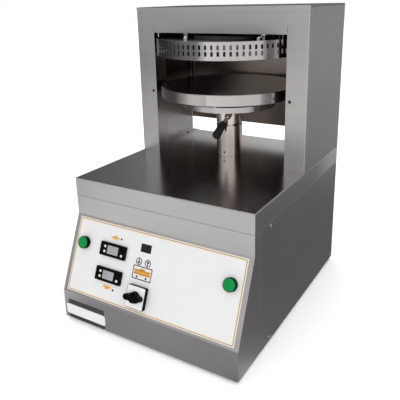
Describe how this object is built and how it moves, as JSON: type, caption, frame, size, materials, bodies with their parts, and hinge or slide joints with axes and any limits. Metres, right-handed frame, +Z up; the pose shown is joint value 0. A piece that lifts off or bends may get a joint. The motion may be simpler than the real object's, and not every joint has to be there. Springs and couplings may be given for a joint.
{
  "type": "pizza dough press",
  "caption": "Stainless pizza dough press: a heated plate on a column rises to a fixed heated plate with a slotted guard, in a portal tower above a slanted control panel.",
  "frame": {"origin": "on the floor, under the middle of the footprint", "axes": "+Z up, -Y to the operator, +X to the operator's right"},
  "size_m": [0.504, 0.6702, 0.77],
  "materials": {
    "stainless_sheet": "satin stainless sheet with a fine grain",
    "galvanised_sheet": "dull zinc-coated sheet",
    "foot_rubber": "matt black rubber",
    "black_plastic": "black plastic, slightly glossy",
    "frame_steel": "grey painted structural steel",
    "hot_plate_steel": "polished hard-chromed steel",
    "heater_ceramic": "pale heat-resistant insulation",
    "bright_steel": "turned and ground bright steel",
    "bronze": "bearing bronze",
    "gear_casting": "sand-cast aluminium",
    "motor_paint": "blue-grey motor paint",
    "overlay_film": "white control film with orange lines",
    "display_plastic": "dark display window",
    "white_plastic": "white moulded plastic",
    "green_plastic": "green pushbutton plastic"
  },
  "bodies": {
    "casing": {"base_tray": "galvanised_sheet", "feet": "foot_rubber", "front_panel": "stainless_sheet", "left_side_panel": "stainless_sheet", "right_side_panel": "stainless_sheet", "base_rear_panel": "stainless_sheet", "cable_gland": "black_plastic", "deck": "stainless_sheet", "tie_columns": "frame_steel", "tower_front": "stainless_sheet", "left_post_liner": "stainless_sheet", "right_post_liner": "stainless_sheet", "tower_left_side": "stainless_sheet", "tower_right_side": "stainless_sheet", "tower_top": "stainless_sheet", "tower_rear_panel": "stainless_sheet", "head_plate": "frame_steel", "upper_plate": "hot_plate_steel", "upper_heater": "heater_ceramic", "upper_studs": "bright_steel", "guard_ring": "stainless_sheet", "guard_straps": "stainless_sheet", "guard_nuts": "bright_steel", "guide_housing": "frame_steel", "guide_bushes": "bronze", "drive_plate": "frame_steel", "gearbox": "gear_casting", "motor": "motor_paint", "fan_cover": "black_plastic", "guide_rod": "bright_steel", "limit_switches": "black_plastic", "overlay": "overlay_film", "upper_controller": "black_plastic", "lower_controller": "black_plastic", "timer_module": "display_plastic", "switch_plate": "white_plastic", "button_bezels": "black_plastic", "electrics": "black_plastic", "panel_screws": "bright_steel"},
    "ram": {"ram_column": "bright_steel", "screw_nut": "bronze", "anti_turn_arm": "frame_steel"},
    "screw": {"drive_screw": "bright_steel"},
    "plate": {"carrier_disc": "bright_steel", "plate_spacers": "heater_ceramic", "carrier_bolts": "bright_steel", "lower_plate": "hot_plate_steel", "lower_heater": "heater_ceramic"},
    "adjuster": {"adjuster_ring": "bright_steel", "lever_rod": "bright_steel", "lever_grip": "black_plastic"},
    "knob": {"switch_knob": "black_plastic"},
    "left_cap": {"left_button": "green_plastic"},
    "right_cap": {"right_button": "green_plastic"},
    "upper_key_a": {"upper_key_a": "white_plastic"},
    "upper_key_b": {"upper_key_b": "white_plastic"},
    "upper_key_c": {"upper_key_c": "white_plastic"},
    "lower_key_a": {"lower_key_a": "white_plastic"},
    "lower_key_b": {"lower_key_b": "white_plastic"},
    "lower_key_c": {"lower_key_c": "white_plastic"}
  },
  "joints": [
    {"name": "ram_lift", "type": "slide", "parent": "casing", "child": "ram", "axis": [0, 0, 1], "range_m": [0, 0.098]},
    {"name": "screw_turn", "type": "hinge", "parent": "casing", "child": "screw", "pos_m": [0, 0.11514, 0.2], "axis": [0, 0, 1], "range_deg": [0, 1764.1]},
    {"name": "plate_adjust", "type": "slide", "parent": "ram", "child": "plate", "axis": [0, 0, 1], "range_m": [0, 0.005]},
    {"name": "lever_turn", "type": "hinge", "parent": "ram", "child": "adjuster", "pos_m": [0, 0.11514, 0.49], "axis": [0, 0, 1], "range_deg": [0, 90.1]},
    {"name": "main_switch_turn", "type": "hinge", "parent": "casing", "child": "knob", "pos_m": [-0.0218, -0.31676, 0.12712], "axis": [0, -0.9207, 0.3903], "range_deg": [0, 90]},
    {"name": "left_button_press", "type": "slide", "parent": "casing", "child": "left_cap", "axis": [0, 0.9207, -0.3903], "range_m": [0, 0.004], "stiffness_N_per_m": 400},
    {"name": "right_button_press", "type": "slide", "parent": "casing", "child": "right_cap", "axis": [0, 0.9207, -0.3903], "range_m": [0, 0.004], "stiffness_N_per_m": 400},
    {"name": "upper_key_a_press", "type": "slide", "parent": "casing", "child": "upper_key_a", "axis": [0, 0.9207, -0.3903], "range_m": [0, 0.0006], "stiffness_N_per_m": 300},
    {"name": "upper_key_b_press", "type": "slide", "parent": "casing", "child": "upper_key_b", "axis": [0, 0.9207, -0.3903], "range_m": [0, 0.0006], "stiffness_N_per_m": 300},
    {"name": "upper_key_c_press", "type": "slide", "parent": "casing", "child": "upper_key_c", "axis": [0, 0.9207, -0.3903], "range_m": [0, 0.0006], "stiffness_N_per_m": 300},
    {"name": "lower_key_a_press", "type": "slide", "parent": "casing", "child": "lower_key_a", "axis": [0, 0.9207, -0.3903], "range_m": [0, 0.0006], "stiffness_N_per_m": 300},
    {"name": "lower_key_b_press", "type": "slide", "parent": "casing", "child": "lower_key_b", "axis": [0, 0.9207, -0.3903], "range_m": [0, 0.0006], "stiffness_N_per_m": 300},
    {"name": "lower_key_c_press", "type": "slide", "parent": "casing", "child": "lower_key_c", "axis": [0, 0.9207, -0.3903], "range_m": [0, 0.0006], "stiffness_N_per_m": 300}
  ],
  "couplings": [
    {"joint": "screw_turn", "follows": "ram_lift", "rad_per_m": 314.16},
    {"joint": "lever_turn", "follows": "plate_adjust", "rad_per_m": 314.16}
  ]
}
